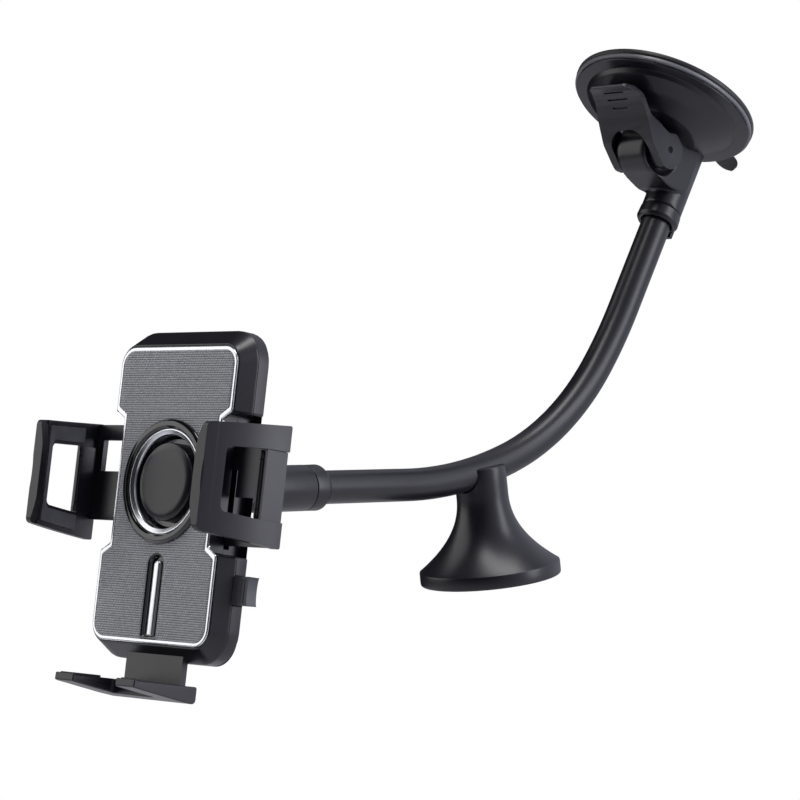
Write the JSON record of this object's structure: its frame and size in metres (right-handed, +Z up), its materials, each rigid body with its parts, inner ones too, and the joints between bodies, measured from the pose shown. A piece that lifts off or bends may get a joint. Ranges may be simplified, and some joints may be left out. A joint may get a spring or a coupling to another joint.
{
  "type": "car phone mount",
  "caption": "Long-arm car phone mount: lever-locked suction cup, bendable gooseneck with a bell foot, and a ball-jointed phone cradle with sliding side grips and a pull-out bottom foot.",
  "frame": {"origin": "centre of the suction cup's face, where it meets the glass", "axes": "+Y away from the driver towards the windscreen, +X to the driver's right, +Z up"},
  "size_m": [0.108, 0.3536, 0.2569],
  "materials": {
    "satin_black": "fine moulded satin",
    "graphite": "matte",
    "gloss_black": "polished",
    "gel": "glossy gel",
    "rim_grey": "satin",
    "soft_black": "matte",
    "sleeve": "smooth satin",
    "liner": "ribbed matte",
    "woven": "fine woven ribs",
    "chrome": "satin bright",
    "steel": "drawn"
  },
  "bodies": {
    "cup": {"suction_pad": "gel", "rim_band": "rim_grey", "cup_housing": "satin_black", "neck": "satin_black", "stem_spring": "steel", "pull_tab": "soft_black", "neck_ring": "satin_black"},
    "stem": {"draw_stem": "steel", "pivot_pin": "steel"},
    "lever": {"lock_lever": "satin_black"},
    "arm_upper": {"sleeve_upper": "sleeve", "core_upper": "steel"},
    "arm_middle": {"sleeve_middle": "sleeve", "core_middle": "steel", "flex_upper": "sleeve"},
    "dash_foot": {"dash_foot": "satin_black", "dash_pad": "soft_black"},
    "arm_lower": {"sleeve_lower": "sleeve", "core_lower": "steel", "flex_lower": "sleeve", "ferrule": "satin_black", "ferrule_ring": "satin_black", "ball_stud": "graphite"},
    "seat": {"ball_seat": "graphite"},
    "collet": {"ball_collet": "graphite"},
    "cradle": {"back_cover": "satin_black", "front_cover": "satin_black", "face_pad": "woven", "trim_frame": "chrome", "dish_ring": "gloss_black", "chrome_ring": "chrome", "centre_cap": "satin_black", "groove_channel": "gloss_black", "groove_strip": "chrome", "cover_screws": "steel", "button_spring": "steel"},
    "nut": {"ring_nut": "satin_black"},
    "grip_right": {"slide_right": "satin_black", "grip_frame_right": "satin_black", "grip_liner_right": "liner"},
    "grip_left": {"slide_left": "satin_black", "grip_frame_left": "satin_black", "grip_liner_left": "liner"},
    "pinion": {"pinion": "graphite"},
    "button": {"release_button": "graphite"},
    "pawl": {"latch_pawl": "steel"},
    "bottom_foot": {"foot_stem": "satin_black", "foot_fork": "satin_black", "fork_pads": "soft_black"}
  },
  "joints": [
    {"name": "stem_draw", "type": "slide", "parent": "cup", "child": "stem", "axis": [0, 0.5075, 0.8616], "range_m": [0, 0.0012], "deforming": ["stem_spring"]},
    {"name": "lever_swing", "type": "hinge", "parent": "stem", "child": "lever", "pos_m": [0, -0.01294, -0.02197], "axis": [1, 0, 0], "range_deg": [0, 60]},
    {"name": "arm_swivel", "type": "hinge", "parent": "cup", "child": "arm_upper", "pos_m": [0, -0.00298, -0.04722], "axis": [0, 0.5075, 0.8616], "range_deg": [-90, 90]},
    {"name": "arm_bend", "type": "hinge", "parent": "arm_upper", "child": "arm_middle", "pos_m": [0, -0.05922, -0.12878], "axis": [1, 0, 0], "range_deg": [-20, 20], "deforming": ["flex_upper"]},
    {"name": "arm_sweep", "type": "hinge", "parent": "arm_middle", "child": "arm_lower", "pos_m": [0, -0.17632, -0.16135], "axis": [0, 0, 1], "range_deg": [-25, 25], "deforming": ["flex_lower"]},
    {"name": "dash_foot_swing", "type": "hinge", "parent": "arm_middle", "child": "dash_foot", "pos_m": [0, -0.11588, -0.15646], "axis": [0, 0.9736, 0.2284], "range_deg": [-35, 35]},
    {"name": "ball_pitch", "type": "hinge", "parent": "arm_lower", "child": "seat", "pos_m": [0, -0.25662, -0.16135], "axis": [1, 0, 0], "range_deg": [-12, 20]},
    {"name": "ball_yaw", "type": "hinge", "parent": "seat", "child": "collet", "pos_m": [0, -0.25662, -0.16135], "axis": [0, 0.1478, 0.989], "range_deg": [-18, 18]},
    {"name": "ball_roll", "type": "hinge", "parent": "collet", "child": "cradle", "pos_m": [0, -0.25662, -0.16135], "axis": [0, 0.989, -0.1478], "continuous": true},
    {"name": "nut_turn", "type": "hinge", "parent": "cradle", "child": "nut", "pos_m": [0, -0.25662, -0.16135], "axis": [0, 0.989, -0.1478], "range_deg": [0, 180]},
    {"name": "grip_close", "type": "slide", "parent": "cradle", "child": "grip_right", "axis": [-1, 0, 0], "range_m": [0, 0.0135]},
    {"name": "grip_close_left", "type": "slide", "parent": "cradle", "child": "grip_left", "axis": [1, 0, 0], "range_m": [0, 0.0135]},
    {"name": "pinion_turn", "type": "hinge", "parent": "cradle", "child": "pinion", "pos_m": [0, -0.27314, -0.15888], "axis": [0, 0.989, -0.1478], "range_deg": [-155, 0]},
    {"name": "button_press", "type": "slide", "parent": "cradle", "child": "button", "axis": [-1, 0, 0], "range_m": [0, 0.0025], "stiffness_N_per_m": 400, "springref_m": -0.0008, "deforming": ["button_spring"]},
    {"name": "pawl_lift", "type": "hinge", "parent": "cradle", "child": "pawl", "pos_m": [0.018, -0.27547, -0.18735], "axis": [0, 0.989, -0.1478], "range_deg": [0, 20]},
    {"name": "foot_slide", "type": "slide", "parent": "cradle", "child": "bottom_foot", "axis": [0, -0.1478, -0.989], "range_m": [-0.005, 0.015]}
  ],
  "couplings": [
    {"joint": "lever_swing", "follows": "stem_draw", "rad_per_m": 872.66},
    {"joint": "grip_close_left", "follows": "grip_close", "ratio": 1},
    {"joint": "pinion_turn", "follows": "grip_close", "rad_per_m": -200},
    {"joint": "pawl_lift", "follows": "button_press", "rad_per_m": 139.63}
  ]
}
